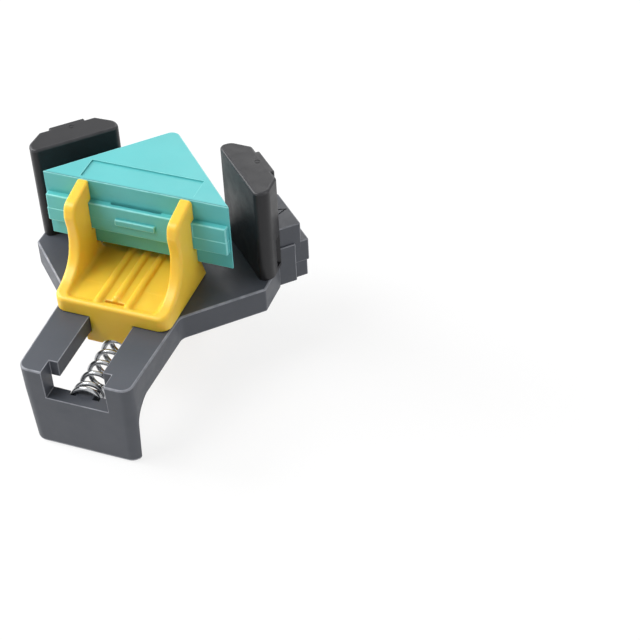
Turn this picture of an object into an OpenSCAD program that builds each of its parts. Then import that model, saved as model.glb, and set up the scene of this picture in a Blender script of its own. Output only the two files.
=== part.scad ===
// Spring-loaded corner clamp for frames and boxes, one-hand squeeze type
// Millimetres, +Z up, the bench is Z = 0, the corner points along +Y

/* [Corner block] */
// Half of the long side of the corner block
block_half = 44; // [42:0.5:45]
// Height of the corner block
block_height = 33.6; // [32:0.1:35]
// Space between the plate and the underside of the block
block_lift = 12; // [11.6:0.1:13]
// Radius on the upright corner edge of the block
corner_radius = 4; // [2:0.5:5]
// How far the back rail stands out from the block
rail_proud = 3; // [2.4:0.1:3.4]
// Length of the raised stop bar in the middle of the rail
bar_length = 19; // [16:0.5:24]

/* [Jaws] */
// Opening between block and jaws with the carriage at rest
rest_gap = 12; // [10.5:0.5:13]
// Length of a jaw along its clamping face
jaw_length = 40.2; // [38:0.2:42]
// Depth of a jaw behind its clamping face
jaw_depth = 13; // [12:0.2:14]
// How far the jaws reach above the block
jaw_over = 2.4; // [1.5:0.1:3.5]
// How far the middle panel on the back of a jaw stands out
panel_proud = 1.4; // [0.8:0.1:2]

/* [Base] */
// Height of the plate top above the bench
plate_top = 44.6; // [43:0.2:48]
// Depth of the rim round the plate and the handle
plate_thick = 12.8; // [12.4:0.1:14]
// Thickness of the skin inside that rim
skin_thick = 8; // [7.4:0.1:8.6]
// Width of the rim under the plate
rim_width = 3.4; // [2.6:0.1:4]
// Half width of the plate across the jaws
plate_half = 56; // [55:0.5:58]
// Half width of the handle at its end
handle_half = 25.8; // [24.5:0.1:27]
// Thickness of the end wall of the handle at the plate top
wall_thick = 6.2; // [5.6:0.1:7]
// Inside radius between handle and end wall
hook_radius = 11.5; // [9:0.5:13]

/* [Carriage] */
// Free travel of the carriage towards the handle end
travel = 18; // [14:0.5:18]
// Half width of the guide slot
slot_half = 10.45; // [10:0.05:11]
// Gap on each side of the sliding faces
slide_gap = 0.3; // [0.2:0.05:0.4]
// Half width of the carriage
carriage_half = 27; // [26.5:0.1:28]
// Thickness of the two horns
horn_thick = 5.6; // [5:0.1:6]
// Height of the tray rim above the plate
rim_height = 7.5; // [6.5:0.1:8.5]

/* [Finger grip] */
// Outside radius of the curved finger grip
grip_radius = 34; // [32:0.5:34.5]
// Wall of the finger grip
grip_wall = 4; // [3:0.2:5]

/* [Spring] */
// Outside diameter of the return spring
spring_od = 13.4; // [12.6:0.1:14]
// Wire diameter of the return spring
spring_wire = 1.8; // [1.4:0.1:2]
// Number of open turns
open_turns = 5.5; // [4.5:0.5:7]

/* [Jaw keepers] */
// Width of a jaw keeper
keeper_width = 24; // [23:0.2:25]
// How far the upper block of a jaw keeper stands out from the plate
keeper_depth = 11.8; // [11:0.2:13]
// How much further the fork of a jaw keeper stands out
fork_proud = 3.6; // [2.4:0.2:4]
// Width of the fork slot in a jaw keeper
fork_slot = 10; // [9:0.2:11]

/* [Hidden] */
$fa = 5;
$fs = 0.8;
eps = 0.02;
fit_gap = 0.2;
root2 = sqrt(2);

steel = [0.80, 0.81, 0.82];
grey = [0.36, 0.38, 0.42];
black = [0.13, 0.13, 0.14];
yellow = [0.93, 0.78, 0.27];
turquoise = [0.38, 0.80, 0.79];

// Heights
plate_under = plate_top - plate_thick;
block_z = plate_top + block_lift;
block_top = block_z + block_height;

// Corner block
block_back = -19.7;
apex_y = block_back + block_half;
rail_low = plate_top + 17.4;
rail_high = rail_low + 18;
rail_back = block_back - rail_proud;
bar_proud = 1.2;
bar_height = 3.4;
bar_low = rail_low + 7.2;
rail_over = -1.2;
recess_length = 53;
recess_width = 12;
recess_edge = 2.2;
recess_depth = 0.6;
slit_length = 24;
slit_width = 1.1;
slit_depth = 2.2;

// Jaw frame: n runs outwards square to the clamping face, t along it from the apex
jaw_n = apex_y / root2 + rest_gap;
jaw_t = 24.8;
jaw_back = jaw_n + jaw_depth;
jaw_top = block_top + jaw_over;
jaw_cut = 7;
chamfer_n = jaw_back - 1.3;
panel_width = 16.7;
peg_depth = 6;
jaw_foot_near = 3;
jaw_foot_far = 9;
jaw_foot_half = 9;
pocket_width = 3.2;
pocket_depth = 7.5;
pocket_place = 15.3;
pocket_low = plate_top + 2;
pocket_high = plate_top + 17.5;

// Base outline
front_y = 19;
front_half = chamfer_n * root2 - front_y;
side_y = chamfer_n * root2 - plate_half;
waist_y = -15.4;
neck_half = 27.5;
neck_y = -44;
end_y = -93.7;
end_lean = 2;
end_draw = 1.2;
end_round = 5;
wall_y = end_y + wall_thick;
notch_half = 14.5;
notch_depth = 7.7;
notch_y = end_y + notch_depth;
notch_drop = 14.3;
notch_floor = plate_top - notch_drop;
front_relief = 1.7;
relief_half = 27.5;

// Carriage
tray_rear = -55.6;
tray_round = 5;
tray_wall = 3.6;
tray_floor = plate_top + 5;
tray_front = -13.4;
tongue_half = slot_half - slide_gap;
foot_half = tongue_half + 2.8;
tongue_front = -22;
tongue_low = plate_under + 0.3;
slot_front = tongue_front + slide_gap;
horn_top = block_top - 0.2;
notch_back = rail_back - slide_gap;
ledge_z = rail_low - slide_gap;
hook_z = rail_high + slide_gap;
rib_round = 2.6;
rib_z = plate_top + rim_height - rib_round;
rib_pitch = 7.2;
rib_short = 4;
well_half = 4.3;
well_depth = 2.4;

// Spring
spring_z = plate_top - 17;
seat_depth = 2.4;
spring_rear = wall_y - seat_depth + 0.05;
spring_front = -42.2;
channel_round = spring_od / 2 + 0.7;

// Finger grip
grip_y = -26.5;
grip_half = 20;
grip_top = plate_top - skin_thick - slide_gap;
grip_flange = 3.5;
grip_rear = spring_front;
seat_half = 8.5;
seat_thick = 4;
grip_rib_x = 12;
grip_rib_thick = 3;
grip_rib_low = 9;
screw_round = 1.75;
screw_head = 3.5;
screw_head_high = 2.2;
screw_length = 14;
screw_places = [-34.5, -26.5];
screw_z = grip_top - grip_flange;
stop_y = grip_rear - travel - slide_gap;
stop_length = 10;

// Jaw keeper
keeper_top = plate_top + 18.8;
keeper_low = plate_top - 11.9;
keeper_ledge = plate_top + 8.6;
keeper_step = plate_top - 3.2;
keeper_web = 6.2;
arch_z = plate_top + 2.4;
keeper_front = chamfer_n + keeper_depth;
web_over = 0.9;
leg_step = 0.9;
peg_place = 8.6;
peg_half = 2.2;
peg_low = plate_under + 1.4;
peg_high = plate_under + 5.6;
peg_reach = 4;
arrow_edge = 0.9;
arrow_length = 6.4;
arrow_half = 2.7;
arrow_line = 0.6;
arrow_depth = 0.4;

// Shift that puts the middle of the clamp over the origin
front_max = (keeper_front + fork_proud - jaw_t + keeper_width / 2) / root2;
frame_y = -(end_y + front_max) / 2;

// Lays a drawing in the upright Y-Z plane and gives it width along X
module upright(width) {
    translate([-width / 2, 0, 0])
        rotate([90, 0, 90])
            linear_extrude(width)
                children();
}

// Turns the jaw frame (n, -t) into the clamp's frame
module jaw_frame() {
    rotate([0, 0, 45])
        children();
}

// Box given by its two corners in the jaw frame
module jaw_box(n0, n1, t0, t1, z0, z1) {
    translate([n0, -t1, z0])
        cube([n1 - n0, t1 - t0, z1 - z0]);
}

// Outline of plate and handle seen from above
module base_outline() {
    right = [[front_half, front_y], [plate_half, side_y], [plate_half, waist_y],
             [neck_half, neck_y], [handle_half, end_y]];
    left = [for (i = [len(right) - 1:-1:0]) [-right[i][0], right[i][1]]];
    offset(r = 1.2)
        offset(delta = -1.2)
            offset(r = -4)
                offset(delta = 4)
                    polygon(concat(right, left));
}

// Side view of the end wall with its inside radius
module hook_profile() {
    tip = 1.2;
    difference() {
        polygon([[wall_y + hook_radius, plate_top], [end_y, plate_top], [end_y + end_lean, tip],
                 [end_y + end_lean + tip, 0], [wall_y - tip, 0], [wall_y, tip],
                 [wall_y, plate_under - hook_radius], [wall_y + hook_radius, plate_under - hook_radius]]);
        translate([wall_y + hook_radius, plate_under - hook_radius])
            circle(hook_radius);
    }
}

// Level slice of the handle end, used for its draught and its round corners
module end_slice(z, half, rear) {
    translate([0, 0, z])
        linear_extrude(eps)
            offset(r = end_round)
                offset(delta = -end_round)
                    polygon([[-neck_half - 4, neck_y], [-half, rear], [half, rear], [neck_half + 4, neck_y]]);
}

// Space around the handle end that is taken away to give its draught
module end_trim() {
    lean = end_lean * plate_thick / plate_top;
    difference() {
        translate([-plate_half, end_y - wall_thick, -1])
            cube([2 * plate_half, 2 * wall_thick + hook_radius, plate_top + 2]);
        hull() {
            end_slice(plate_top, handle_half, end_y);
            end_slice(plate_under, handle_half, end_y + lean);
            end_slice(-eps, handle_half - end_draw, end_y + end_lean);
        }
    }
}

// Hollow under the plate and the handle, inside the rim, with the shoulder that ends the travel
module under_pocket() {
    translate([0, 0, -1])
        linear_extrude(plate_top - skin_thick + 1)
            intersection() {
                offset(delta = -rim_width)
                    base_outline();
                union() {
                    translate([-grip_half - 3.2, stop_y])
                        square([2 * grip_half + 6.4, 12 - stop_y]);
                    translate([-notch_half, wall_y])
                        square([2 * notch_half, stop_y - wall_y + 1]);
                    translate([-handle_half, wall_y])
                        square([2 * handle_half, stop_y - stop_length - wall_y]);
                }
            }
}

module base_body() {
    difference() {
        union() {
            translate([0, 0, plate_under])
                linear_extrude(plate_thick)
                    base_outline();
            upright(2 * handle_half + 1)
                hook_profile();
        }
        end_trim();
        under_pocket();
        translate([-relief_half, 0, plate_under - 1])
            cube([2 * relief_half, front_y + 10, front_relief + 1]);
    }
}

module base_frame() {
    color(grey)
        difference() {
            base_body();
            guide_slot();
            for (side = [0, 1])
                mirror([side, 0, 0])
                    jaw_frame()
                        base_sockets();
        }
}

// Slot through the handle, the wider notch in its end and the spring seat
module guide_slot() {
    translate([-slot_half, notch_y - eps, -1])
        cube([2 * slot_half, slot_front - notch_y + eps, plate_top + 2]);
    translate([-notch_half, wall_y, -1])
        cube([2 * notch_half, notch_y - wall_y, plate_top + 2]);
    translate([-notch_half, end_y - 5, notch_floor])
        cube([2 * notch_half, notch_y - end_y + 5, plate_top]);
    translate([0, wall_y - seat_depth, spring_z])
        rotate([-90, 0, 0])
            cylinder(r = spring_od / 2 + 0.5, h = 6);
}

// Sockets that take the jaw foot and the two keeper pegs
module base_sockets() {
    jaw_box(jaw_n + jaw_foot_near - fit_gap, jaw_n + jaw_foot_far + fit_gap, jaw_t - jaw_foot_half - fit_gap,
            jaw_t + jaw_foot_half + fit_gap, plate_top - peg_depth - fit_gap, plate_top + 1);
    for (side = [-1, 1])
        jaw_box(chamfer_n - peg_reach - fit_gap, chamfer_n + peg_reach,
                jaw_t + peg_place * side - peg_half - fit_gap, jaw_t + peg_place * side + peg_half + fit_gap,
                peg_low - fit_gap, peg_high + fit_gap);
}

// Jaw seen from above, in the jaw frame
module jaw_outline() {
    half = jaw_length / 2;
    offset(r = 2)
        offset(delta = -2)
            polygon([[jaw_n, half], [jaw_back - jaw_cut, half], [jaw_back, half - jaw_cut],
                     [jaw_back, -half + jaw_cut], [jaw_back - jaw_cut, -half], [jaw_n, -half]]);
}

module jaw_right() {
    color(black)
        jaw_frame()
            difference() {
                union() {
                    translate([0, -jaw_t, plate_top])
                        linear_extrude(jaw_top - plate_top)
                            jaw_outline();
                    jaw_box(jaw_back - 3, jaw_back + panel_proud, jaw_t - panel_width / 2,
                            jaw_t + panel_width / 2, keeper_top, jaw_top);
                    jaw_box(jaw_n + jaw_foot_near, jaw_n + jaw_foot_far, jaw_t - jaw_foot_half,
                            jaw_t + jaw_foot_half, plate_top - peg_depth, plate_top + 1);
                }
                jaw_box(chamfer_n - fit_gap, jaw_back + jaw_cut, jaw_t - keeper_width / 2 - web_over - fit_gap,
                        jaw_t + keeper_width / 2 + web_over + fit_gap, plate_top - 1, keeper_top);
                for (middle = [jaw_t - pocket_place, jaw_t + pocket_place])
                    jaw_box(jaw_back - pocket_depth, jaw_back + jaw_cut, middle - pocket_width / 2,
                            middle + pocket_width / 2, pocket_low, pocket_high);
            }
}

module jaw_left() {
    mirror([1, 0, 0])
        jaw_right();
}

// Opening of the fork, round at its top
module fork_opening() {
    translate([chamfer_n - 1, -jaw_t, arch_z])
        rotate([0, 90, 0])
            cylinder(d = fork_slot, h = keeper_depth + fork_proud + 5);
    jaw_box(chamfer_n - 1, chamfer_n + keeper_depth + fork_proud + 5, jaw_t - fork_slot / 2,
            jaw_t + fork_slot / 2, plate_under - 1, arch_z);
}

module jaw_keeper_right() {
    half = keeper_width / 2;
    fork = keeper_front + fork_proud;
    color(grey)
        jaw_frame()
            difference() {
                union() {
                    jaw_box(chamfer_n, keeper_front, jaw_t - half, jaw_t + half, keeper_step, keeper_top);
                    jaw_box(chamfer_n, fork, jaw_t - half, jaw_t + half, keeper_step, keeper_ledge);
                    jaw_box(chamfer_n, fork - leg_step, jaw_t - half + fit_gap, jaw_t + half - fit_gap,
                            keeper_low, keeper_step + leg_step);
                    jaw_box(chamfer_n, chamfer_n + keeper_web, jaw_t - half - web_over, jaw_t + half + web_over,
                            plate_under + 0.4, keeper_ledge);
                    for (side = [-1, 1])
                        jaw_box(chamfer_n - peg_reach, chamfer_n + 1, jaw_t + peg_place * side - peg_half,
                                jaw_t + peg_place * side + peg_half, peg_low, peg_high);
                }
                fork_opening();
                arrow_mark(keeper_front);
            }
}

// Engraved triangle on top of the keeper, pointing outwards
module arrow_mark(front) {
    tip = front - arrow_edge;
    base = tip - arrow_length;
    slope = arrow_half / arrow_length;
    inner_tip = tip - arrow_line / sin(atan(slope));
    inner_base = base + arrow_line;
    inner_half = (inner_tip - inner_base) * slope;
    translate([0, -jaw_t, keeper_top - arrow_depth])
        linear_extrude(1)
            difference() {
                polygon([[base, arrow_half], [tip, 0], [base, -arrow_half]]);
                polygon([[inner_base, inner_half], [inner_tip, 0], [inner_base, -inner_half]]);
            }
}

module jaw_keeper_left() {
    mirror([1, 0, 0])
        jaw_keeper_right();
}

// Side view of a horn and of the tray wall below it
module horn_profile() {
    low = plate_top + slide_gap;
    rim = plate_top + rim_height;
    front = block_back - slide_gap;
    difference() {
        union() {
            offset(r = 2.4)
                offset(delta = -2.4)
                    offset(r = -9)
                        offset(delta = 9)
                            polygon([[tray_rear, low - 6], [tray_rear, rim], [-47, rim + 2.2], [-38.6, rim + 9],
                                     [-36, rim + 20], [-35.2, horn_top - 3.4], [front - 1, horn_top + 0.4],
                                     [front, horn_top - 0.4], [front, low - 6]]);
            polygon([[front - 8, low], [front - 8, ledge_z], [front, ledge_z], [front, block_z - slide_gap],
                     [tray_front - 1, low + 3], [tray_front, low]]);
        }
        translate([notch_back, ledge_z])
            square([10, hook_z - ledge_z]);
        translate([tray_rear - 1, low - 10])
            square([60, 10]);
    }
}

// Tray seen from above
module tray_outline(inset) {
    half = carriage_half - inset;
    round_r = max(tray_round - inset, 1.5);
    offset(r = round_r)
        offset(delta = -round_r)
            translate([-half, tray_rear + inset])
                square([2 * half, 80]);
}

module tray() {
    low = plate_top + slide_gap;
    difference() {
        translate([0, 0, low])
            linear_extrude(rim_height - slide_gap)
                intersection() {
                    tray_outline(0);
                    translate([-2 * carriage_half, tray_rear])
                        square([4 * carriage_half, tray_front - tray_rear]);
                }
        translate([0, 0, tray_floor])
            linear_extrude(30)
                tray_outline(tray_wall);
    }
    for (k = [-1, 0, 1])
        intersection() {
            translate([k * rib_pitch, tray_rear + tray_wall + (k == 0 ? rib_short : -1), rib_z])
                rotate([-90, 0, 0])
                    cylinder(r = rib_round, h = tray_front - tray_rear);
            translate([-carriage_half, tray_rear, low])
                cube([2 * carriage_half, tray_front - 0.5 - tray_rear, rim_height + rib_round]);
        }
}

module carriage() {
    color(yellow)
        difference() {
            union() {
                tray();
                for (side = [-1, 1])
                    translate([side * (carriage_half - horn_thick / 2), 0, 0])
                        upright(horn_thick)
                            horn_profile();
                translate([-tongue_half, tray_rear, grip_top])
                    cube([2 * tongue_half, tongue_front - tray_rear, plate_top + slide_gap + 1 - grip_top]);
                translate([-foot_half, tray_rear, tongue_low])
                    cube([2 * foot_half, grip_rear - slide_gap - tray_rear, grip_top - tongue_low]);
            }
            spring_channel();
            corner_trim();
            translate([-well_half, tray_rear + tray_wall - 0.6, tray_floor - well_depth])
                cube([2 * well_half, rib_short + 0.4, 10]);
            for (y = screw_places)
                translate([0, y, grip_top - 1])
                    cylinder(r = screw_round + 0.05, h = screw_length - grip_flange + 2);
        }
}

// Rounds the rear corners of the side walls to the tray outline
module corner_trim() {
    translate([0, 0, plate_top - 20])
        linear_extrude(80)
            difference() {
                translate([-carriage_half - 1, tray_rear - 1])
                    square([2 * carriage_half + 2, 20]);
                tray_outline(0);
            }
}

// Round way for the spring under the tongue
module spring_channel() {
    translate([0, tray_rear - 1, spring_z])
        rotate([-90, 0, 0])
            cylinder(r = channel_round, h = spring_front + 0.1 - tray_rear + 1);
}

module finger_grip() {
    color(yellow) {
        difference() {
            union() {
                grip_shell();
                translate([-seat_half, spring_front, spring_z - spring_od / 2 - 0.4])
                    cube([2 * seat_half, seat_thick, grip_top - 1 - spring_z + spring_od / 2 + 0.4]);
            }
            spring_channel();
            for (y = screw_places)
                translate([0, y, screw_z - 1])
                    cylinder(r = screw_round + fit_gap, h = 20);
        }
    }
}

// Pan-head screws that pull the grip up against the tongue
module grip_screws() {
    color(steel)
        for (y = screw_places)
            translate([0, y, screw_z])
                difference() {
                    union() {
                        cylinder(r = screw_round, h = screw_length);
                        translate([0, 0, -screw_head_high])
                            cylinder(r = screw_head, h = screw_head_high);
                    }
                    for (turn = [0, 90])
                        rotate([0, 0, turn])
                            translate([-1.9, -0.4, -screw_head_high - 1])
                                cube([3.8, 0.8, 2.2]);
                }
}

// Section of the curved wall, with a round foot
module grip_section() {
    foot = grip_wall * 0.3;
    offset(r = foot)
        offset(delta = -foot)
            translate([grip_radius - grip_wall, 0])
                square([grip_wall, grip_top]);
    translate([grip_radius - grip_wall, grip_top - 6])
        square([grip_wall, 6]);
}

module grip_shell() {
    swing = asin(grip_half / grip_radius);
    inner = grip_radius - grip_wall / 2;
    rib_edge = grip_rib_x + grip_rib_thick / 2;
    reach = grip_y + sqrt(inner * inner - rib_edge * rib_edge);
    translate([0, grip_y, 0])
        rotate([0, 0, 90 - swing])
            rotate_extrude(angle = 2 * swing, $fa = 3)
                grip_section();
    translate([0, 0, grip_top - grip_flange])
        linear_extrude(grip_flange)
            intersection() {
                translate([0, grip_y])
                    circle(inner, $fa = 3);
                translate([-grip_half, grip_rear])
                    square([2 * grip_half, 100]);
            }
    for (x = [-grip_rib_x, grip_rib_x])
        translate([x, 0, 0])
            upright(grip_rib_thick)
                polygon([[grip_rear + 6, grip_top - 1], [grip_rear + 6, grip_top - grip_flange - 1],
                         [reach - grip_wall, grip_rib_low], [reach, grip_rib_low], [reach, grip_top - 1]]);
}

// Block seen from above, with a round apex and small flats at its tips
module block_outline() {
    hull() {
        translate([0, apex_y - corner_radius * root2])
            circle(corner_radius);
        translate([-block_half + 0.4, block_back])
            square([2 * block_half - 0.8, 0.4]);
    }
}

module corner_block() {
    color(turquoise)
        difference() {
            union() {
                translate([0, 0, block_z])
                    linear_extrude(block_height)
                        block_outline();
                translate([-block_half - rail_over, rail_back, rail_low])
                    cube([2 * (block_half + rail_over), rail_proud + slit_width, rail_high - rail_low]);
                translate([-bar_length / 2, rail_back - bar_proud, bar_low])
                    cube([bar_length, bar_proud + slit_width, bar_height]);
            }
            translate([-recess_length / 2, block_back + recess_edge, block_top - recess_depth])
                cube([recess_length, recess_width, 2 * recess_depth]);
            translate([-slit_length / 2, block_back - slit_width, rail_high - slit_depth])
                cube([slit_length, slit_width, 2 * slit_depth]);
        }
}

// Wire swept round the spring's axis: closed turns at both ends, open turns between
module return_spring() {
    side_count = 8;
    per_turn = 20;
    closed = 1.6;
    turns = open_turns + 2 * closed;
    steps = round(turns * per_turn);
    span = spring_front - spring_rear - spring_wire;
    lead = spring_wire * 1.06;
    open_lead = (span - 2 * closed * lead) / open_turns;
    coil_round = (spring_od - spring_wire) / 2;
    wire_r = spring_wire / 2;
    function along(u) = u < closed ? u * lead
        : u > turns - closed ? span - (turns - u) * lead
        : closed * lead + (u - closed) * open_lead;
    points = [for (i = [0:steps]) let (u = i / per_turn, turn = 360 * u, y = along(u))
                for (j = [0:side_count - 1]) let (a = 360 * j / side_count, r = coil_round + wire_r * cos(a))
                    [r * cos(turn), y + wire_r * sin(a), r * sin(turn)]];
    last = steps * side_count;
    faces = concat(
        [[for (j = [0:side_count - 1]) j]],
        [[for (j = [side_count - 1:-1:0]) last + j]],
        [for (i = [0:steps - 1]) for (j = [0:side_count - 1])
            let (k = (j + 1) % side_count, a = i * side_count, b = a + side_count)
                [a + j, b + j, b + k, a + k]]);
    color(steel)
        translate([0, spring_rear + wire_r, spring_z])
            mirror([1, 0, 0])
                polyhedron(points, faces, convexity = 10);
}

// Brings a piece into the shared frame
module placed() {
    translate([0, frame_y, 0])
        children();
}

placed() base_frame();
placed() jaw_left();
placed() jaw_right();
placed() jaw_keeper_left();
placed() jaw_keeper_right();
placed() carriage();
placed() finger_grip();
placed() grip_screws();
placed() corner_block();
placed() return_spring();
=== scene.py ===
import math

import bmesh
import bpy
import numpy as np
from mathutils import Matrix, Vector


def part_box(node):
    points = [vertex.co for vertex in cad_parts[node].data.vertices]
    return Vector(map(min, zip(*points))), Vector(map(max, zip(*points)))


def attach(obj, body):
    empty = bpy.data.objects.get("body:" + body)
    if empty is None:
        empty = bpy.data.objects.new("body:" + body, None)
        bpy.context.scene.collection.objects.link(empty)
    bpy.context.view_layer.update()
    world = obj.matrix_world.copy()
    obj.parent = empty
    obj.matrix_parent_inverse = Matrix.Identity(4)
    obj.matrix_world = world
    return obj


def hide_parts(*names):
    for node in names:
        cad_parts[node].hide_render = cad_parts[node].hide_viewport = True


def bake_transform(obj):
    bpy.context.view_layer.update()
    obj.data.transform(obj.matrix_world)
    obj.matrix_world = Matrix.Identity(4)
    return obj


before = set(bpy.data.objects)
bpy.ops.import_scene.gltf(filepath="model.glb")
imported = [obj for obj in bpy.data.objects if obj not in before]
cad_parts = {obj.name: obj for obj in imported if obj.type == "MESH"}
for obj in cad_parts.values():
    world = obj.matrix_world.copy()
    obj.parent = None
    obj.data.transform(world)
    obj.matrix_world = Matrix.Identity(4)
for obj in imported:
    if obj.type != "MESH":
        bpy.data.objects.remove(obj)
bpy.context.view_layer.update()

# Drawing frame: millimetres, Z = 0 on the bench, Y = 0 a little in front of the carriage.
# SHIFT moves a drawing into the shared frame of the CAD model.

def box_mm(node):
    low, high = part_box(node)
    return Vector(low) * 1000, Vector(high) * 1000


# Levels of the CAD model
TOP = box_mm("base_frame")[1].z
BLOCK_LOW = box_mm("corner_block")[0].z
BLOCK_TOP = box_mm("corner_block")[1].z
JAW_TOP = box_mm("jaw_right")[1].z

# Plate and handle: underside of the rim and of the skin, outline, slot.
# X + Y is PLATE_CHAMFER on the chamfers of the plate.
UNDER = TOP - 12.8
SKIN = TOP - 8.0
PLATE_HALF = 56.0
PLATE_FRONT = 19.0
PLATE_REAR = -15.4
PLATE_CHAMFER = 57.817
WAIST_HALF = 27.5
WAIST_Y = -44.0
HANDLE_HALF = 25.8
SLOT_HALF = 10.45
SLOT_FRONT = -21.7

# End wall of the handle, the notch in its top and the ledge that this leaves
END_Y = -93.7
SHIFT = box_mm("base_frame")[0].y - END_Y
WALL_Y = END_Y + 6.2
NOTCH_HALF = 14.5
NOTCH_Y = END_Y + 8.1
NOTCH_Z = TOP - 15.2
LEDGE_Y = NOTCH_Y - 0.1

# Corner block and its back rail
BLOCK_HALF = 44.0
BLOCK_BACK = -19.7
APEX_Y = 24.3
RAIL_LOW = TOP + 21.3
RAIL_HIGH = TOP + 35.4
RAIL_BACK = BLOCK_BACK - 3.0

# Jaws and keepers: N counts square to the jaw's face, T along it
JAW_N = APEX_Y / math.sqrt(2) + 12.0
JAW_T = 24.8
JAW_BACK = JAW_N + 13.0
CHAMFER_N = JAW_BACK - 1.3
KEEPER_TOP = TOP + 18.8

# Spring: height of its axis, offset of its closed end to the right, and its two ends
SPRING_Z = TOP - 18.0
SPRING_LEAN = 0.8
SPRING_FRONT = -42.2
SPRING_REAR = WALL_Y - 0.6

# Screws that hold the finger grip to the carriage
SCREWS_Y = (-34.5, -26.5)

# Points closer than MERGE become one point, and faces that turn by less than FLAT one face
MERGE = 0.002
FLAT = math.radians(0.6)

scene = bpy.context.scene


# Drawing helpers

def rounded(corners, seg=6):
    """Closed outline from (a, b, radius) corners; a radius of 0 keeps the corner sharp."""
    out = []
    count = len(corners)
    for i, (a, b, r) in enumerate(corners):
        p = Vector((a, b))
        if r <= 0:
            out.append(p)
            continue
        before = (Vector(corners[i - 1][:2]) - p).normalized()
        after = (Vector(corners[(i + 1) % count][:2]) - p).normalized()
        half = before.angle(after) / 2
        centre = p + (before + after).normalized() * (r / math.sin(half))
        first = p + before * (r / math.tan(half)) - centre
        last = p + after * (r / math.tan(half)) - centre
        start = math.atan2(first.y, first.x)
        sweep = (math.atan2(last.y, last.x) - start + math.pi) % (2 * math.pi) - math.pi
        for k in range(seg + 1):
            angle = start + sweep * k / seg
            out.append(centre + r * Vector((math.cos(angle), math.sin(angle))))
    return out


def mirrored(right):
    """Corners of the right half, in order, with the left half added."""
    return right + [(-p[0], *p[1:]) for p in reversed(right)]


def new_object(name, bm):
    bmesh.ops.recalc_face_normals(bm, faces=bm.faces)
    mesh = bpy.data.meshes.new(name)
    bm.to_mesh(mesh)
    bm.free()
    obj = bpy.data.objects.new(name, mesh)
    scene.collection.objects.link(obj)
    return obj


def loft(rings):
    """Solid through rings of points, each ring with the same count."""
    bm = bmesh.new()
    rows = [[bm.verts.new(p) for p in ring] for ring in rings]
    count = len(rows[0])
    bm.faces.new(rows[0])
    bm.faces.new(rows[-1])
    for low, high in zip(rows, rows[1:]):
        for i in range(count):
            j = (i + 1) % count
            bm.faces.new((low[i], low[j], high[j], high[i]))
    return new_object("piece", bm)


def prism(outline, low, high, along="z"):
    """Outline drawn square to one axis and given length along it."""
    if along == "z":
        rings = [[(a, b, h) for a, b in outline] for h in (low, high)]
    elif along == "x":
        rings = [[(h, a, b) for a, b in outline] for h in (low, high)]
    else:
        rings = [[(a, h, b) for a, b in outline] for h in (low, high)]
    return loft(rings)


def box(x0, x1, y0, y1, z0, z1):
    return prism([(x0, y0), (x1, y0), (x1, y1), (x0, y1)], z0, z1)


def rod(radius, low, high, along="z", at=(0, 0), seg=32):
    turns = [2 * math.pi * k / seg for k in range(seg)]
    circle = [(at[0] + radius * math.cos(a), at[1] + radius * math.sin(a)) for a in turns]
    return prism(circle, low, high, along)


def combine(obj, how, *tools):
    """Boolean of obj with the tools, which are used up."""
    for tool in tools:
        step = obj.modifiers.new("step", "BOOLEAN")
        step.operation = how
        step.object = tool
        step.solver = "EXACT"
    bpy.context.view_layer.update()
    result = bpy.data.meshes.new_from_object(obj.evaluated_get(bpy.context.evaluated_depsgraph_get()))
    obj.modifiers.clear()
    obj.data = result
    for tool in tools:
        bpy.data.objects.remove(tool)
    bm = bmesh.new()
    bm.from_mesh(obj.data)
    bmesh.ops.remove_doubles(bm, verts=bm.verts, dist=MERGE)
    bmesh.ops.dissolve_limit(bm, angle_limit=FLAT, verts=bm.verts, edges=bm.edges)
    bm.to_mesh(obj.data)
    bm.free()
    return obj


def cut(obj, *tools):
    return combine(obj, "DIFFERENCE", *tools)


def weld(obj, *tools):
    return combine(obj, "UNION", *tools)


def round_edges(obj, width, seg=3, pick=None, sharp=26):
    """Rounds the sharp edges whose middle passes pick, and marks the new faces as edges, where the materials
    paint a highlight.
    """
    bm = bmesh.new()
    bm.from_mesh(obj.data)
    mark = bm.faces.layers.float.get("edge") or bm.faces.layers.float.new("edge")
    chosen = []
    for e in bm.edges:
        if len(e.link_faces) != 2 or e.calc_face_angle(0) < math.radians(sharp):
            continue
        if pick is None or pick((e.verts[0].co + e.verts[1].co) / 2):
            chosen.append(e)
    made = bmesh.ops.bevel(bm, geom=chosen, offset=width, offset_type="OFFSET", segments=seg, profile=0.5,
                           affect="EDGES", clamp_overlap=False, loop_slide=True, material=-1)
    for face in made["faces"]:
        face[mark] = 1.0
    bmesh.ops.remove_doubles(bm, verts=bm.verts, dist=MERGE)
    bm.to_mesh(obj.data)
    bm.free()
    return obj


def soft_edged(x0, x1, y0, y1, z0, z1, radius):
    return round_edges(box(x0, x1, y0, y1, z0, z1), radius)


def turn(obj, matrix):
    obj.data.transform(matrix)
    if matrix.determinant() < 0:
        obj.data.flip_normals()
    return obj


def copy_of(obj):
    twin = obj.copy()
    twin.data = obj.data.copy()
    scene.collection.objects.link(twin)
    return twin


MIRROR = Matrix.Scale(-1, 4, (1, 0, 0))
JAW_FRAME = Matrix.Rotation(math.radians(45), 4, "Z") @ Matrix.Translation((0, -JAW_T, 0))
TO_ROW = Matrix.Scale(0.001, 4) @ Matrix.Translation((0, SHIFT, 0))


def place(obj, name, body, material, node, smooth=32):
    """Brings a drawing into the shared frame, shades it and lets it ride on its body."""
    obj.name = name
    obj.data.name = name
    obj.data.transform(TO_ROW)
    obj.data.materials.clear()
    obj.data.materials.append(material)
    for face in obj.data.polygons:
        face.use_smooth = True
    obj.data.set_sharp_from_angle(angle=math.radians(smooth))
    even = obj.modifiers.new("even", "WEIGHTED_NORMAL")
    even.keep_sharp = True
    even.weight = 80
    if body:
        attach(obj, body)
    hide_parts(node)
    return obj


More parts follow.
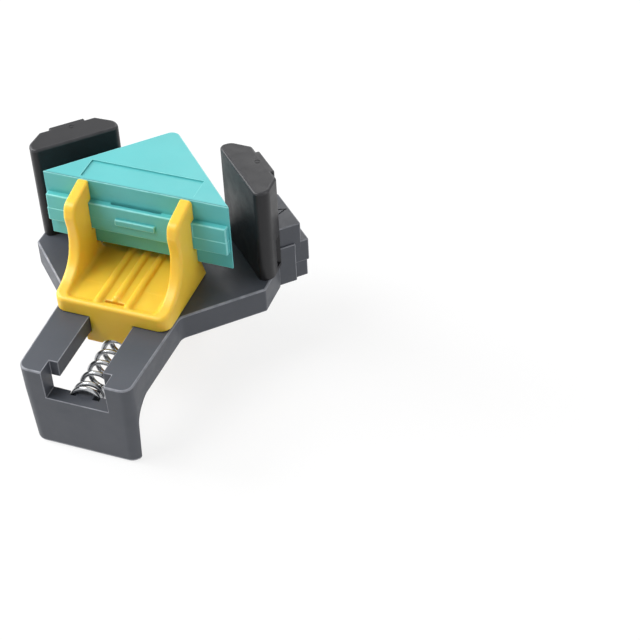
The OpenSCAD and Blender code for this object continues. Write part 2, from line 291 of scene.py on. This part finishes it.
# Soft forms: distance fields in millimetres, negative inside, skinned into one closed mesh

def meet(a, b, r):
    """Intersection with an edge of radius r."""
    return np.minimum(-r, np.maximum(a, b)) + np.hypot(np.maximum(a + r, 0), np.maximum(b + r, 0))


def join(a, b, r):
    """Union with a fillet of radius r."""
    return np.maximum(r, np.minimum(a, b)) - np.hypot(np.maximum(r - a, 0), np.maximum(r - b, 0))


def carve(a, b, r):
    """Difference with an edge of radius r."""
    return meet(a, -b, r)


def slab(value, low, high):
    return np.maximum(low - value, value - high)


def soft_box(spans, r):
    """Box from the slabs of its sides, with corners of radius r."""
    q = [s + r for s in spans]
    inside = q[0]
    outside = 0
    for s in q:
        inside = np.maximum(inside, s)
        outside = outside + np.maximum(s, 0) ** 2
    return np.minimum(inside, 0) + np.sqrt(outside) - r


def in_outline(a, b, outline):
    """Distance to a closed outline in its plane."""
    nearest = np.inf
    sign = 1.0
    for p, q in zip(outline, outline[-1:] + outline[:-1]):
        ex, ey = q[0] - p[0], q[1] - p[1]
        wx, wy = a - p[0], b - p[1]
        t = np.clip((wx * ex + wy * ey) / (ex * ex + ey * ey), 0, 1)
        nearest = np.minimum(nearest, (wx - ex * t) ** 2 + (wy - ey * t) ** 2)
        above, below, left = b >= p[1], b < q[1], ex * wy > ey * wx
        sign = np.where((above & below & left) | ~(above | below | left), -sign, sign)
    return sign * np.sqrt(nearest)


def skin(field, low, high, step):
    """Closed mesh where the field is zero: one point per crossed cell, drawn on to the surface."""
    axes = [np.arange(a, b + step, step) for a, b in zip(low, high)]
    d = field(*np.meshgrid(*axes, indexing="ij", sparse=True))
    cells = [n - 1 for n in d.shape]
    total = np.zeros(cells + [3])
    hits = np.zeros(cells)

    def corner(o):
        return d[o[0]:o[0] + cells[0], o[1]:o[1] + cells[1], o[2]:o[2] + cells[2]]

    for axis in range(3):
        u, v = (axis + 1) % 3, (axis + 2) % 3
        for s in (0, 1):
            for t in (0, 1):
                near = [0, 0, 0]
                near[u], near[v] = s, t
                far = list(near)
                far[axis] = 1
                da, db = corner(near), corner(far)
                crossed = (da < 0) != (db < 0)
                total[..., axis] += np.where(crossed, da / np.where(crossed, da - db, 1), 0)
                total[..., u] += s * crossed
                total[..., v] += t * crossed
                hits += crossed
    used = hits > 0
    number = np.full(cells, -1)
    number[used] = np.arange(used.sum())
    points = (np.argwhere(used) + total[used] / hits[used][:, None]) * step + np.array(low)
    quads = []
    for axis in range(3):
        u, v = (axis + 1) % 3, (axis + 2) % 3
        inside = np.moveaxis(d < 0, axis, 0)
        at = np.argwhere(inside[:-1] != inside[1:])
        outward = inside[:-1][tuple(at.T)]
        order = np.argsort([axis] + [k for k in range(3) if k != axis])
        at = at[:, order]
        ring = []
        for s, t in ((0, 0), (1, 0), (1, 1), (0, 1)):
            cell = at.copy()
            cell[:, u] -= s
            cell[:, v] -= t
            ring.append(number[tuple(cell.T)])
        ring = np.stack(ring, 1)
        ring[~outward] = ring[~outward][:, ::-1]
        quads.append(ring)
    reach = 0.02
    for _ in range(5):
        slope = [field(*(points + side).T) - field(*(points - side).T) for side in np.eye(3) * reach]
        slope = np.stack(slope, 1) / (2 * reach)
        pull = field(*points.T) / np.maximum((slope ** 2).sum(1), 0.3)
        points = points - np.clip(pull, -step / 2, step / 2)[:, None] * slope
    mesh = bpy.data.meshes.new("skin")
    mesh.from_pydata(points.tolist(), [], np.concatenate(quads).tolist())
    obj = bpy.data.objects.new("skin", mesh)
    scene.collection.objects.link(obj)
    return obj


# Materials

def link(tree, a, out, b, into):
    tree.links.new(a.outputs[out], b.inputs[into])


def noise(tree, where, scale, detail):
    node = tree.nodes.new("ShaderNodeTexNoise")
    node.inputs["Scale"].default_value = scale
    node.inputs["Detail"].default_value = detail
    link(tree, where, "Object", node, "Vector")
    return node


def plastic(name, colour, pale, rough, edge_highlight, grain=0.12, flow=0.35, sheen=0.5):
    """Moulded plastic: fine spark-eroded grain, faint flow marks, uneven gloss and a painted highlight on the
    rounded edges.
    """
    m = bpy.data.materials.new(name)
    m.use_nodes = True
    tree = m.node_tree
    shader = tree.nodes["Principled BSDF"]
    shader.inputs["IOR"].default_value = 1.49
    shader.inputs["Specular IOR Level"].default_value = sheen
    where = tree.nodes.new("ShaderNodeTexCoord")
    cloud = noise(tree, where, 45, 5)
    tint = tree.nodes.new("ShaderNodeValToRGB")
    tint.color_ramp.elements[0].position = 0.3
    tint.color_ramp.elements[0].color = (*colour, 1)
    tint.color_ramp.elements[1].position = 0.75
    tint.color_ramp.elements[1].color = (*pale, 1)
    link(tree, cloud, "Fac", tint, "Fac")
    # Painted highlight: the faces marked as rounded edges take a paler colour, broken up by noise
    edge = tree.nodes.new("ShaderNodeAttribute")
    edge.attribute_name = "edge"
    highlight_breakup = noise(tree, where, 220, 3)
    amount = tree.nodes.new("ShaderNodeMath")
    amount.operation = "MULTIPLY"
    link(tree, edge, "Fac", amount, 0)
    link(tree, highlight_breakup, "Fac", amount, 1)
    mix = tree.nodes.new("ShaderNodeMix")
    mix.data_type = "RGBA"
    link(tree, amount, "Value", mix, "Factor")
    # Sockets 6, 7 and 2 are A, B and the result of a colour mix
    link(tree, tint, "Color", mix, 6)
    mix.inputs[7].default_value = (*edge_highlight, 1)
    link(tree, mix, 2, shader, "Base Color")
    smear = noise(tree, where, 160, 4)
    smear.inputs["Distortion"].default_value = 0.8
    gloss = tree.nodes.new("ShaderNodeMapRange")
    gloss.inputs["From Min"].default_value = 0.25
    gloss.inputs["From Max"].default_value = 0.8
    gloss.inputs["To Min"].default_value = rough - 0.06
    gloss.inputs["To Max"].default_value = rough + 0.09
    link(tree, smear, "Fac", gloss, "Value")
    link(tree, gloss, "Result", shader, "Roughness")
    low = tree.nodes.new("ShaderNodeBump")
    low.inputs["Strength"].default_value = flow
    low.inputs["Distance"].default_value = 0.00012
    link(tree, noise(tree, where, 70, 2), "Fac", low, "Height")
    bump = tree.nodes.new("ShaderNodeBump")
    bump.inputs["Strength"].default_value = grain
    bump.inputs["Distance"].default_value = 0.00006
    link(tree, noise(tree, where, 2600, 2), "Fac", bump, "Height")
    link(tree, low, "Normal", bump, "Normal")
    link(tree, bump, "Normal", shader, "Normal")
    return m


def wire(name):
    """Bright drawn spring wire with stains and uneven gloss."""
    m = bpy.data.materials.new(name)
    m.use_nodes = True
    tree = m.node_tree
    shader = tree.nodes["Principled BSDF"]
    shader.inputs["Metallic"].default_value = 1.0
    where = tree.nodes.new("ShaderNodeTexCoord")
    stain = noise(tree, where, 300, 4)
    tint = tree.nodes.new("ShaderNodeValToRGB")
    tint.color_ramp.elements[0].position = 0.3
    tint.color_ramp.elements[0].color = (0.34, 0.35, 0.36, 1)
    tint.color_ramp.elements[1].position = 0.7
    tint.color_ramp.elements[1].color = (0.56, 0.57, 0.59, 1)
    link(tree, stain, "Fac", tint, "Fac")
    link(tree, tint, "Color", shader, "Base Color")
    gloss = tree.nodes.new("ShaderNodeMapRange")
    gloss.inputs["To Min"].default_value = 0.16
    gloss.inputs["To Max"].default_value = 0.34
    link(tree, stain, "Fac", gloss, "Value")
    link(tree, gloss, "Result", shader, "Roughness")
    return m


# The colour given after the roughness is each plastic's painted highlight for its rounded edges
grey = plastic("grey_plastic", (0.052, 0.058, 0.072), (0.062, 0.068, 0.083), 0.43, (0.36, 0.37, 0.41))
black = plastic("black_plastic", (0.015, 0.015, 0.017), (0.021, 0.021, 0.023), 0.36, (0.06, 0.06, 0.065),
                sheen=0.27)
yellow = plastic("yellow_plastic", (0.83, 0.53, 0.042), (0.86, 0.57, 0.052), 0.42, (0.88, 0.60, 0.07),
                 grain=0.08)
yellow_shader = yellow.node_tree.nodes["Principled BSDF"]
yellow_shader.inputs["Subsurface Weight"].default_value = 0.5
yellow_shader.inputs["Subsurface Radius"].default_value = (1.0, 0.45, 0.08)
yellow_shader.inputs["Subsurface Scale"].default_value = 0.003
turquoise = plastic("turquoise_plastic", (0.088, 0.44, 0.45), (0.10, 0.48, 0.49), 0.36, (0.32, 0.78, 0.76),
                    grain=0.08)
steel = wire("spring_steel")


# Base: plate, slotted handle and hooked end wall in one moulding

def base_ring(z, half, end):
    """Outline of the base at one height; half and end place the corners of the handle."""
    right = [(PLATE_CHAMFER - PLATE_FRONT, PLATE_FRONT, 1.4),
             (PLATE_HALF, PLATE_CHAMFER - PLATE_HALF, 1.4),
             (PLATE_HALF, PLATE_REAR, 1.4), (WAIST_HALF, WAIST_Y, 5), (half, end, 5)]
    return [(a, b, z) for a, b in rounded(mirrored(right), 7)]


def in_slot(p):
    return abs(p.x) < NOTCH_HALF + 0.5 and p.y < SLOT_FRONT + 0.7 and p.z > NOTCH_Z - 0.1


def make_base():
    below = -5
    base = loft([base_ring(0, HANDLE_HALF - 1.2, END_Y + 2),
                 base_ring(UNDER, HANDLE_HALF, END_Y + 0.57),
                 base_ring(TOP, HANDLE_HALF, END_Y)])
    hook_radius, past_front = 11.5, 60
    hollow = rounded([(WALL_Y, below, 0), (WALL_Y, UNDER, hook_radius), (past_front, UNDER, 0),
                      (past_front, below, 0)], 12)
    cut(base, prism(hollow, -80, 80, "x"))
    relief_half, relief = 27.5, 1.7
    cut(base, box(-relief_half, relief_half, 0, 30, UNDER - 5, UNDER + relief))
    round_edges(base, 1.9, 4, lambda p: p.z < 0.5)
    round_edges(base, 0.8, 3, lambda p: p.z > 0.5, 30)
    slot = mirrored([(SLOT_HALF, SLOT_FRONT), (SLOT_HALF, NOTCH_Y), (NOTCH_HALF, NOTCH_Y),
                     (NOTCH_HALF, END_Y - 6)])
    cut(base, prism(slot, NOTCH_Z, TOP + 20))
    round_edges(base, 0.35, 2, in_slot, 40)
    through = mirrored([(SLOT_HALF, SLOT_FRONT - 0.01), (SLOT_HALF, LEDGE_Y + 0.5)])
    cut(base, prism(through, below, NOTCH_Z + 0.4))
    stop_half, stop_front, stop_rear = 14.5, -60.5, -70.5
    pocket = mirrored([(23.2, 12), (23.2, stop_front), (stop_half, stop_front), (stop_half, stop_rear),
                       (23.1, stop_rear), (22.6, LEDGE_Y)])
    cut(base, prism(pocket, below, SKIN))
    axis = (SPRING_LEAN, SPRING_Z)
    cut(base, rod(7.6, SPRING_REAR, WALL_Y + 9, "y", axis, 48))
    boss_end = WALL_Y + 6
    boss = rod(4.8, SPRING_REAR - 1, boss_end, "y", axis, 40)
    cut(boss, box(-10, 10, END_Y, boss_end + 4, NOTCH_Z, TOP))
    weld(base, round_edges(boss, 0.7, 3, lambda p: p.y > boss_end - 1, 50))
    return base


# Jaw and keeper, drawn with N along X and the middle of the jaw at Y = 0

def ring_mark(outer, inner, low, high, along, at, seg):
    """Tube that cuts a ring mark."""
    tube = rod(outer, low, high, along, at, seg)
    return cut(tube, rod(inner, low - 1, high + 1, along, at, seg))


def make_jaw():
    half, back_half, socket_half = 20.5, 13.1, 13.1
    side = [(JAW_N, half, 3), (JAW_BACK - 7, half, 5), (JAW_BACK, back_half, 1.5)]
    outline = rounded(side + [(a, -b, r) for a, b, r in reversed(side)], 7)
    jaw = prism(outline, TOP, JAW_TOP)
    round_edges(jaw, 1.2, 4, lambda p: p.z > JAW_TOP - 0.1)
    panel_half, panel_face, mark_z = 8.35, JAW_BACK + 1.4, 77.5
    panel = box(JAW_BACK - 3, panel_face, -panel_half, panel_half, KEEPER_TOP - 4, JAW_TOP - 0.02)
    round_edges(panel, 0.7, 3)
    weld(jaw, panel)
    cut(jaw, ring_mark(4.3, 3.9, panel_face - 0.25, panel_face + 1.6, "x", (0, mark_z), 40))
    cut(jaw, box(CHAMFER_N - 0.2, JAW_BACK + 10, -socket_half, socket_half, TOP - 1, KEEPER_TOP))
    window_half = 1.6
    for middle in (-15.3, 15.3):
        cut(jaw, box(JAW_BACK - 7.5, JAW_BACK + 10, middle - window_half, middle + window_half,
                     TOP + 2, TOP + 17.5))
    cut(jaw, ring_mark(1.25, 0.85, JAW_TOP - 0.12, JAW_TOP + 1, "z", (JAW_BACK - 2.6, 1.2), 24))
    return turn(jaw, JAW_FRAME)


def arrow(rear, tip, half, low, high):
    return prism([(rear, half), (tip, 0), (rear, -half)], low, high)


def make_keeper():
    front = CHAMFER_N + 11.8
    fork = front + 3.6
    step = TOP + 8.6
    edge = 0.5
    keeper = soft_edged(CHAMFER_N, front, -12, 12, TOP + 4, KEEPER_TOP, edge)
    weld(keeper, soft_edged(CHAMFER_N, fork, -11.99, 11.99, TOP - 3.2, step, edge))
    weld(keeper, soft_edged(CHAMFER_N, fork - 0.9, -11.75, 11.75, TOP - 11.9, TOP - 2.5, edge))
    weld(keeper, soft_edged(CHAMFER_N - 0.2, CHAMFER_N + 8.6, -12.9, 12.9, UNDER + 0.4, step - 0.01, edge))
    arch_radius, arch_z, foot = 5, TOP + 2.4, UNDER - 2
    turns = [math.pi * k / 16 for k in range(17)]
    arch = [(-arch_radius, foot), (arch_radius, foot)]
    arch += [(arch_radius * math.cos(a), arch_z + arch_radius * math.sin(a)) for a in turns]
    cut(keeper, prism(arch, CHAMFER_N - 2, fork + 2, "x"))
    round_edges(keeper, 0.3, 2, lambda p: abs(p.y) < arch_radius + 0.1 and p.x > CHAMFER_N + 1, 50)
    mark = arrow(front - 7.3, front - 0.9, 2.7, KEEPER_TOP - 0.4, KEEPER_TOP + 1)
    cut(mark, arrow(front - 6.7, front - 2.45, 1.8, KEEPER_TOP - 1, KEEPER_TOP + 2))
    cut(keeper, mark)
    return turn(keeper, JAW_FRAME)


# Carriage: horns, tray, ribs and tongue in one soft-edged moulding; heights count from the plate

HORN_SIDE = rounded([(-4, -9, 0), (-4, 45.6, 0), (-20, 45.6, 8), (-35.2, 42.2, 4.5), (-36.6, 36, 6),
                     (-34.9, 25.5, 25), (-38.6, 13.6, 14), (-47, 9.3, 20), (-54, 7.6, 10), (-66, 7.2, 0),
                     (-66, -9, 0)], 8)
CARRIAGE_HALF, CARRIAGE_REAR, PLAN_FRONT = 27.0, -55.6, 40
HORN_FRONT = -19.9
WEB_TOP, WEB_FRONT, WEB_LEAN, LEAN_LENGTH = 11.6, -17.4, 0.38, 1.07
TRAY_HALF, TRAY_REAR, TRAY_FLOOR = 21.4, -53.3, 6.3
FLOOR_HALF, FLOOR_REAR, FLOOR_FRONT = 23.2, -40, -9.2
# Middle and rear end of each rib
RIBS = ((-7.2, -52), (0, -47.2), (7.2, -52))
RIB_RADIUS, RIB_FRONT = 1.8, -13.0
SLIT_HALF, SLIT_REAR, SLIT_FRONT = 4.5, -50.7, -49.2
TONGUE_HALF, TONGUE_FRONT, TONGUE_LOW = 10.15, -22, -8.3
FOOT_HALF, FOOT_FRONT, FOOT_LOW = 12.95, -42.5, -13.9
CHANNEL_RADIUS = 7.0
RAIL_GAP = 0.3
HOLE_RADIUS, HOLE_TOP = 1.8, 3.4


def carriage_field(x, y, z):
    """Distance to the carriage."""
    z = z - TOP
    wide = np.abs(x)
    side = in_outline(y, z, HORN_SIDE)
    plan = soft_box([wide - CARRIAGE_HALF, CARRIAGE_REAR - y, y - PLAN_FRONT], 5)
    body = meet(side, plan, 1.6)
    web = (y - WEB_FRONT - WEB_LEAN * (WEB_TOP - z)) / LEAN_LENGTH
    front = np.minimum(y - HORN_FRONT, np.maximum(z - WEB_TOP, web))
    body = meet(body, front, 0.35)
    hollow = soft_box([wide - TRAY_HALF, TRAY_REAR - y, TRAY_FLOOR - z], 2.6)
    body = carve(body, hollow, 1.0)
    floor = soft_box([wide - FLOOR_HALF, slab(y, FLOOR_REAR, FLOOR_FRONT), slab(z, -3, TRAY_FLOOR)], 0.6)
    body = join(body, floor, 0.3)
    for middle, rear in RIBS:
        along = np.maximum(np.maximum(rear - y, y - RIB_FRONT), 0)
        rib = np.sqrt((x - middle) ** 2 + (z - TRAY_FLOOR) ** 2 + along ** 2) - RIB_RADIUS
        body = join(body, np.maximum(rib, 1 - z), 0.6)
    slit = soft_box([wide - SLIT_HALF, slab(y, SLIT_REAR, SLIT_FRONT), -7.5 - z], 0.4)
    body = carve(body, slit, 0.25)
    body = meet(body, 0.3 - z, 0.25)
    tongue = soft_box([wide - TONGUE_HALF, slab(y, CARRIAGE_REAR, TONGUE_FRONT),
                       slab(z, TONGUE_LOW, 3)], 0.3)
    foot = soft_box([wide - FOOT_HALF, slab(y, CARRIAGE_REAR, FOOT_FRONT),
                     slab(z, FOOT_LOW, TONGUE_LOW)], 0.3)
    body = np.minimum(body, join(tongue, foot, 0.2))
    channel = np.maximum(np.hypot(x, z + TOP - SPRING_Z) - CHANNEL_RADIUS, y - SPRING_FRONT - 0.1)
    body = carve(body, channel, 0.3)
    rail = slab(z, RAIL_LOW - TOP - RAIL_GAP, RAIL_HIGH - TOP + RAIL_GAP)
    body = carve(body, soft_box([RAIL_BACK - RAIL_GAP - y, rail], 0.3), 0.35)
    for hole_y in SCREWS_Y:
        body = np.maximum(body, -np.maximum(np.hypot(x, y - hole_y) - HOLE_RADIUS, z - HOLE_TOP))
    return body


def make_carriage():
    low, high = (-28.25, -57.25, TOP - 15.25), (28.25, -8.25, TOP + 47.25)
    cell = 0.5
    return skin(carriage_field, low, high, cell)


# Finger grip: curved wall with a flange, two ribs and the seat of the spring

GRIP_RADIUS, GRIP_WALL, GRIP_HALF, GRIP_Y = 34.0, 4.0, 20.0, -26.5
GRIP_TOP = SKIN - 0.3
FLANGE = 3.5


def grip_arc(radius, steps):
    swing = math.asin(GRIP_HALF / GRIP_RADIUS)
    turns = [math.pi / 2 - swing + 2 * swing * k / steps for k in range(steps + 1)]
    return [(radius * math.cos(a), GRIP_Y + radius * math.sin(a)) for a in turns]


def make_grip():
    inner = GRIP_RADIUS - GRIP_WALL
    section = rounded([(inner, 0, 1.3), (GRIP_RADIUS, 0, 1.7), (GRIP_RADIUS, GRIP_TOP, 0),
                       (inner, GRIP_TOP, 0)], 5)
    grip = loft(list(zip(*[[(a, b, z) for a, b in grip_arc(r, 36)] for r, z in section])))
    round_edges(grip, 0.7, 3, sharp=50)
    flange = prism(grip_arc(GRIP_RADIUS - 2, 40) + [(-18.8, SPRING_FRONT), (18.8, SPRING_FRONT)],
                   GRIP_TOP - FLANGE, GRIP_TOP - 0.02)
    round_edges(flange, 0.5, 2, lambda p: p.z < GRIP_TOP - 1)
    seat = box(-8.5, 8.5, SPRING_FRONT, SPRING_FRONT + 4, SPRING_Z - 7.1, GRIP_TOP - 1)
    round_edges(seat, 0.6, 2)
    ribs = []
    rib_side = [(-36.2, GRIP_TOP - 1), (-36.2, GRIP_TOP - 4.5), (-1.5, 9), (2.4, 9), (2.4, GRIP_TOP - 1)]
    rib_wall = 3
    for x in (-12, 12):
        rib = prism(rib_side, x - rib_wall / 2, x + rib_wall / 2, "x")
        ribs.append(round_edges(rib, 0.4, 2))
    weld(grip, flange, seat, *ribs)
    return grip


def make_screws():
    head_radius, head_height, shank_radius, shank_length = 3.5, 2.2, 1.75, 14
    parts = []
    z = GRIP_TOP - FLANGE
    for y in SCREWS_Y:
        head = rod(head_radius, z - head_height, z, "z", (0, y), 32)
        round_edges(head, 0.7, 4, lambda p: p.z < z - 1, 50)
        for wide, deep in ((1.9, 0.4), (0.4, 1.9)):
            cut(head, box(-wide, wide, y - deep, y + deep, z - 4, z - 1))
        parts.append(weld(head, rod(shank_radius, z - 0.5, z + shank_length, "z", (0, y), 24)))
    return weld(*parts)


# Corner block with its back rail, stop bar and bare recess

def rail_part(half, back, low, high, sunk):
    """Bar of the back rail; sunk is how far it reaches into the block."""
    return soft_edged(-half, half, back, BLOCK_BACK + sunk, low, high, 0.6)


def make_block():
    plan = rounded([(0, APEX_Y + 1.6, 4), (BLOCK_HALF, BLOCK_BACK, 0.35), (-BLOCK_HALF, BLOCK_BACK, 0.35)], 8)
    block = prism(plan, BLOCK_LOW, BLOCK_TOP)
    round_edges(block, 0.5, 3, lambda p: p.z > BLOCK_TOP - 0.1 or p.z < BLOCK_LOW + 0.1)
    half, rear, depth = 26.5, BLOCK_BACK + 2.2, 0.8

    def on_rim(p):
        return p.z > BLOCK_TOP - 0.01 and abs(p.x) < half + 0.1 and p.y > rear - 0.2

    cut(block, box(-half, half, rear, rear + 12, BLOCK_TOP - depth, BLOCK_TOP + 3))
    round_edges(block, 0.25, 2, on_rim, 60)
    middle = (RAIL_LOW + RAIL_HIGH) / 2
    weld(block, rail_part(42.8, RAIL_BACK, RAIL_LOW, middle, 1))
    weld(block, rail_part(42.6, RAIL_BACK + 0.2, middle - 1, RAIL_HIGH, 1.01))
    weld(block, rail_part(27.5, RAIL_BACK + 0.01, middle - 2, RAIL_HIGH, 1.02))
    weld(block, soft_edged(-9.5, 9.5, RAIL_BACK - 1.2, RAIL_BACK + 1, TOP + 26.5, TOP + 29.7, 0.5))
    cut(block, box(-12, 12, BLOCK_BACK - 1.1, BLOCK_BACK + 0.05, RAIL_HIGH - 2.2, RAIL_HIGH + 4))
    return block


# Spring

def ease(t):
    """Smooth step from 0 to 1."""
    t = min(max(t, 0), 1)
    return t * t * (3 - 2 * t)


def make_spring():
    """Wire swept along a coil: wider closed turns against the wall, open turns towards the carriage."""
    gauge, turns, per_turn, sides = 2.2, 7.5, 48, 16
    radius, widening, closed_pitch, phase = 5.55, 0.6, 2.6, 0.7
    # Counted in turns: where the coil opens, where it closes before its front end, where it narrows
    opens, opens_over = 0.95, 0.7
    closes, closes_over = 0.5, 0.8
    narrows, narrows_over = 1.1, 1.2
    rear = SPRING_REAR + 0.05 + gauge / 2
    span = SPRING_FRONT - gauge / 2 - rear
    steps = int(turns * per_turn)
    opening = [ease((i / per_turn - opens) / opens_over)
               * ease((turns - i / per_turn - closes) / closes_over) for i in range(steps)]
    spare = (span - closed_pitch * turns) * per_turn / sum(opening)
    path = []
    spokes = []
    y = rear
    for i in range(steps + 1):
        u = i / per_turn
        wide = 1 - ease((u - narrows) / narrows_over)
        a = 2 * math.pi * (phase - u)
        spoke = Vector((math.cos(a), 0, math.sin(a)))
        path.append(Vector((SPRING_LEAN * wide, y, SPRING_Z)) + (radius + widening * wide) * spoke)
        spokes.append(spoke)
        if i < steps:
            y += (closed_pitch + spare * opening[i]) / per_turn
    around = [2 * math.pi * k / sides for k in range(sides)]
    rings = []
    for i, p in enumerate(path):
        along = (path[min(i + 1, steps)] - path[max(i - 1, 0)]).normalized()
        out = spokes[i]
        up = along.cross(out).normalized()
        rings.append([p + gauge / 2 * (math.cos(a) * out + math.sin(a) * up) for a in around])
    return loft(rings)


place(make_base(), "base_moulding", "base", grey, "base_frame")
jaw = make_jaw()
jaw_twin = turn(copy_of(jaw), MIRROR)
place(jaw, "jaw_moulding_right", "base", black, "jaw_right")
place(jaw_twin, "jaw_moulding_left", "base", black, "jaw_left")
keeper = make_keeper()
keeper_twin = turn(copy_of(keeper), MIRROR)
place(keeper, "keeper_moulding_right", "base", grey, "jaw_keeper_right")
place(keeper_twin, "keeper_moulding_left", "base", grey, "jaw_keeper_left")
place(make_carriage(), "carriage_moulding", "carriage", yellow, "carriage")
place(make_grip(), "grip_moulding", "carriage", yellow, "finger_grip")
place(make_screws(), "grip_screw_pair", "carriage", steel, "grip_screws")
place(make_block(), "block_moulding", "block", turquoise, "corner_block")
spring = place(make_spring(), "coil_spring", None, steel, "return_spring", 60)
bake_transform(spring)


# Floor, light and camera

def seen_directly(tree):
    """1 for rays that show the background itself, 0 for the light that falls on the clamp."""
    path = tree.nodes.new("ShaderNodeLightPath")
    out = path.outputs["Is Camera Ray"]
    for other in ("Is Glossy Ray", "Is Transmission Ray"):
        add = tree.nodes.new("ShaderNodeMath")
        add.operation = "MAXIMUM"
        tree.links.new(out, add.inputs[0])
        tree.links.new(path.outputs[other], add.inputs[1])
        out = add.outputs["Value"]
    return out


def make_floor():
    bm = bmesh.new()
    bmesh.ops.create_grid(bm, x_segments=1, y_segments=1, size=4)
    floor = new_object("floor", bm)
    m = bpy.data.materials.new("floor_paper")
    m.use_nodes = True
    tree = m.node_tree
    shader = tree.nodes["Principled BSDF"]
    shader.inputs["Base Color"].default_value = (0.92, 0.92, 0.92, 1)
    shader.inputs["Roughness"].default_value = 0.9
    glow = tree.nodes.new("ShaderNodeEmission")
    share = tree.nodes.new("ShaderNodeMath")
    share.operation = "MULTIPLY"
    share.inputs[1].default_value = 0.8
    tree.links.new(seen_directly(tree), share.inputs[0])
    mix = tree.nodes.new("ShaderNodeMixShader")
    link(tree, share, "Value", mix, 0)
    link(tree, shader, "BSDF", mix, 1)
    link(tree, glow, "Emission", mix, 2)
    link(tree, mix, "Shader", tree.nodes["Material Output"], "Surface")
    floor.data.materials.append(m)


def make_world():
    world = bpy.data.worlds.new("studio")
    world.use_nodes = True
    tree = world.node_tree
    sky = tree.nodes["Background"]
    sky.inputs["Color"].default_value = (1, 1, 1, 1)
    level = tree.nodes.new("ShaderNodeMapRange")
    level.inputs["To Min"].default_value = 0.2
    level.inputs["To Max"].default_value = 1.0
    tree.links.new(seen_directly(tree), level.inputs["Value"])
    link(tree, level, "Result", sky, "Strength")
    scene.world = world


def lamp(name, at, aim, size, power):
    data = bpy.data.lights.new(name, "AREA")
    data.shape = "RECTANGLE"
    data.size, data.size_y = size
    data.energy = power
    obj = bpy.data.objects.new(name, data)
    obj.location = at
    obj.rotation_mode = "QUATERNION"
    obj.rotation_quaternion = (Vector(aim) - Vector(at)).to_track_quat("-Z", "Y")
    scene.collection.objects.link(obj)


make_floor()
make_world()
lamp("side", (-1.0, 0.0, 0.60), (0, 0, 0.05), (0.6, 0.6), 10)
lamp("key", (-0.5, -0.3, 0.95), (0, 0, 0.05), (0.6, 0.6), 8.5)
lamp("fill", (1.0, 0.0, 0.60), (0, 0, 0.05), (0.6, 0.6), 3.5)
lamp("back", (0.0, 1.0, 0.75), (0, 0, 0.06), (0.9, 0.6), 4.5)

# Camera fitted to the photo: azimuth, elevation and roll, then its place along its own three axes
AZ, EL, ROLL = math.radians(21.434), math.radians(41.686), math.radians(-2.517)
back = Vector((math.sin(AZ) * math.cos(EL), -math.cos(AZ) * math.cos(EL), math.sin(EL)))
right = Vector((0, 0, 1)).cross(back).normalized()
up = back.cross(right)
level = math.cos(ROLL) * right + math.sin(ROLL) * up
rise = -math.sin(ROLL) * right + math.cos(ROLL) * up
ACROSS, UPWARD, AWAY = 71.366, -34.438, 746.026
eye = ACROSS * level + UPWARD * rise + AWAY * back + Vector((0, SHIFT, TOP))
camera = bpy.data.objects.new("camera", bpy.data.cameras.new("camera"))
camera.data.sensor_width = 36
camera.data.lens = 92.42
camera.data.clip_start, camera.data.clip_end = 0.05, 20
camera.matrix_world = Matrix((
    (level.x, rise.x, back.x, eye.x / 1000),
    (level.y, rise.y, back.y, eye.y / 1000),
    (level.z, rise.z, back.z, eye.z / 1000),
    (0, 0, 0, 1)))
scene.collection.objects.link(camera)
scene.camera = camera
scene.view_settings.view_transform = "Standard"
